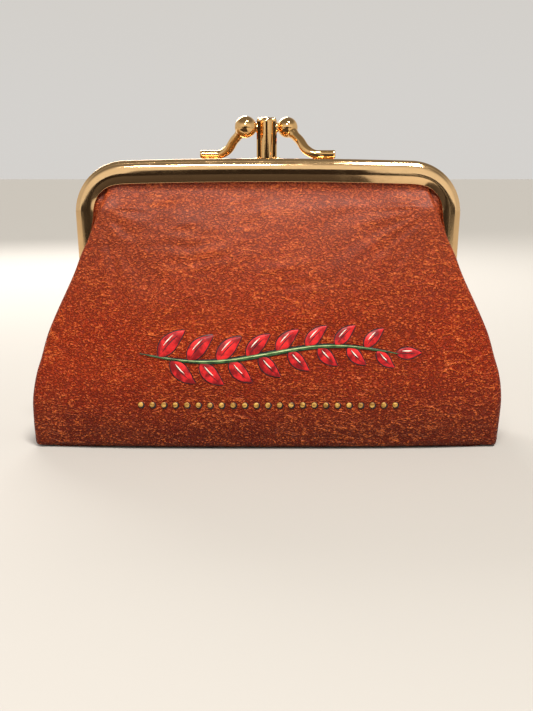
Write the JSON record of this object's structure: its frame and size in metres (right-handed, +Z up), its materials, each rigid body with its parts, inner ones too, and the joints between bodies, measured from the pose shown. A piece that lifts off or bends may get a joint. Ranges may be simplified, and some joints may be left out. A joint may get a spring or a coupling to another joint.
{
  "type": "coin purse",
  "caption": "Small leather coin purse with two compartments, nested hinged metal frames and a ball-and-post clasp.",
  "frame": {"origin": "middle of the base at its lowest face", "axes": "+X along the purse to the right as seen from the front, +Y towards the back, +Z up"},
  "size_m": [0.1232, 0.0366, 0.087],
  "materials": {
    "gold": "polished, light gold plate",
    "leather": "pebbled red-brown leather with a waxed shine",
    "lining": "dark brown woven cloth",
    "paint": "hand-painted decoration under clear varnish",
    "board": "matt paper cord and stiffening board"
  },
  "bodies": {
    "bag": {"front_panel_fold": "leather", "rear_panel_fold": "leather", "front_panel_lower": "leather", "rear_panel_lower": "leather", "front_lining_lower": "lining", "rear_lining_lower": "lining", "divider_panel": "lining", "side_wall_right": "leather", "side_wall_left": "leather", "base_panel": "leather", "base_board": "board", "middle_frame": "gold", "middle_lug_right": "gold", "middle_lug_left": "gold", "hinge_rivet_right": "gold", "hinge_rivet_left": "gold", "clasp_post": "gold", "clasp_post_foot": "gold"},
    "front_frame": {"front_frame": "gold", "front_lug_right": "gold", "front_lug_left": "gold", "front_channel_cord": "board", "front_panel_upper": "leather", "front_lining_upper": "lining", "front_clasp_arm": "gold", "front_clasp_ball": "gold"},
    "rear_frame": {"rear_frame": "gold", "rear_lug_right": "gold", "rear_lug_left": "gold", "rear_channel_cord": "board", "rear_panel_upper": "leather", "rear_lining_upper": "lining", "rear_clasp_arm": "gold", "rear_clasp_ball": "gold"}
  },
  "joints": [
    {"name": "front_open", "type": "hinge", "parent": "bag", "child": "front_frame", "pos_m": [0, 0, 0.04], "axis": [1, 0, 0], "range_deg": [0, 60], "deforming": ["front_panel_fold"]},
    {"name": "rear_open", "type": "hinge", "parent": "bag", "child": "rear_frame", "pos_m": [0, 0, 0.04], "axis": [-1, 0, 0], "range_deg": [0, 60], "deforming": ["rear_panel_fold"]}
  ]
}
